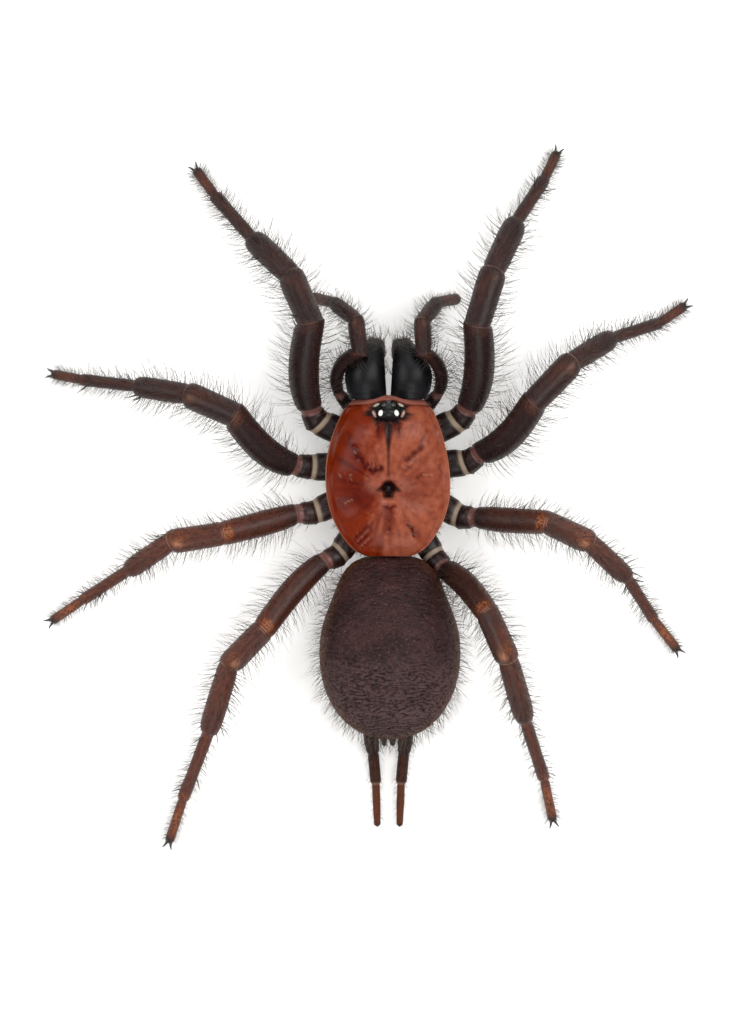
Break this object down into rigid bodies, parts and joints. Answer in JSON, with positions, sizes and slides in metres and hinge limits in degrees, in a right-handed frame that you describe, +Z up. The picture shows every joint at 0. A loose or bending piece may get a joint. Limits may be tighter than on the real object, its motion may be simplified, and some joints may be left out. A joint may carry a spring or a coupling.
{
  "type": "black tunnelweb spider",
  "caption": "Life-size still model of a female black tunnelweb spider standing on the floor, hairy, with long spinnerets behind.",
  "frame": {"origin": "on the floor, under the middle of the whole animal's footprint", "axes": "+Y the way the spider faces, +X its right side, +Z up"},
  "size_m": [0.05, 0.0542, 0.0114],
  "materials": {
    "carapace": "satin red-brown shell with darker grooves",
    "chelicera": "glossy black shell",
    "fang_and_claw": "polished black horn-like chitin",
    "eye": "wet black lenses on a black mound",
    "abdomen": "matt purple-brown wrinkled skin",
    "spinneret": "dull brown skin with paler rings",
    "underside": "dull brown shell",
    "leg_black_brown": "satin black-brown shell",
    "leg_red_brown": "satin red-brown shell",
    "joint_membrane": "dull pale folded skin between the joints",
    "hair": "fine dark hairs and stouter bristles"
  },
  "bodies": {
    "root": {"abdomen": "abdomen", "carapace": "carapace", "chelicera_left": "chelicera", "chelicera_right": "chelicera", "eye_tubercle": "eye", "fang_left": "fang_and_claw", "fang_right": "fang_and_claw", "leg_left_1_coxa": "leg_black_brown", "leg_left_1_femur": "leg_black_brown", "leg_left_1_foot": "leg_black_brown", "leg_left_1_patella": "leg_black_brown", "leg_left_1_tibia": "leg_black_brown", "leg_left_2_coxa": "leg_black_brown", "leg_left_2_femur": "leg_black_brown", "leg_left_2_foot": "leg_black_brown", "leg_left_2_patella": "leg_black_brown", "leg_left_2_tibia": "leg_black_brown", "leg_left_3_coxa": "leg_red_brown", "leg_left_3_femur": "leg_red_brown", "leg_left_3_foot": "leg_red_brown", "leg_left_3_patella": "leg_red_brown", "leg_left_3_tibia": "leg_red_brown", "leg_left_4_coxa": "leg_red_brown", "leg_left_4_femur": "leg_red_brown", "leg_left_4_foot": "leg_red_brown", "leg_left_4_patella": "leg_red_brown", "leg_left_4_tibia": "leg_red_brown", "leg_right_1_coxa": "leg_black_brown", "leg_right_1_femur": "leg_black_brown", "leg_right_1_foot": "leg_black_brown", "leg_right_1_patella": "leg_black_brown", "leg_right_1_tibia": "leg_black_brown", "leg_right_2_coxa": "leg_black_brown", "leg_right_2_femur": "leg_black_brown", "leg_right_2_foot": "leg_black_brown", "leg_right_2_patella": "leg_black_brown", "leg_right_2_tibia": "leg_black_brown", "leg_right_3_coxa": "leg_red_brown", "leg_right_3_femur": "leg_red_brown", "leg_right_3_foot": "leg_red_brown", "leg_right_3_patella": "leg_red_brown", "leg_right_3_tibia": "leg_red_brown", "leg_right_4_coxa": "leg_red_brown", "leg_right_4_femur": "leg_red_brown", "leg_right_4_foot": "leg_red_brown", "leg_right_4_patella": "leg_red_brown", "leg_right_4_tibia": "leg_red_brown", "palp_left_coxa": "leg_red_brown", "palp_left_femur": "leg_red_brown", "palp_left_patella": "leg_red_brown", "palp_left_tip": "leg_red_brown", "palp_right_coxa": "leg_red_brown", "palp_right_femur": "leg_red_brown", "palp_right_patella": "leg_red_brown", "palp_right_tip": "leg_red_brown", "pedicel": "underside", "spinneret_left": "spinneret", "spinneret_right": "spinneret", "spinnerets_median": "spinneret", "sternum": "underside"}
  },
  "joints": []
}
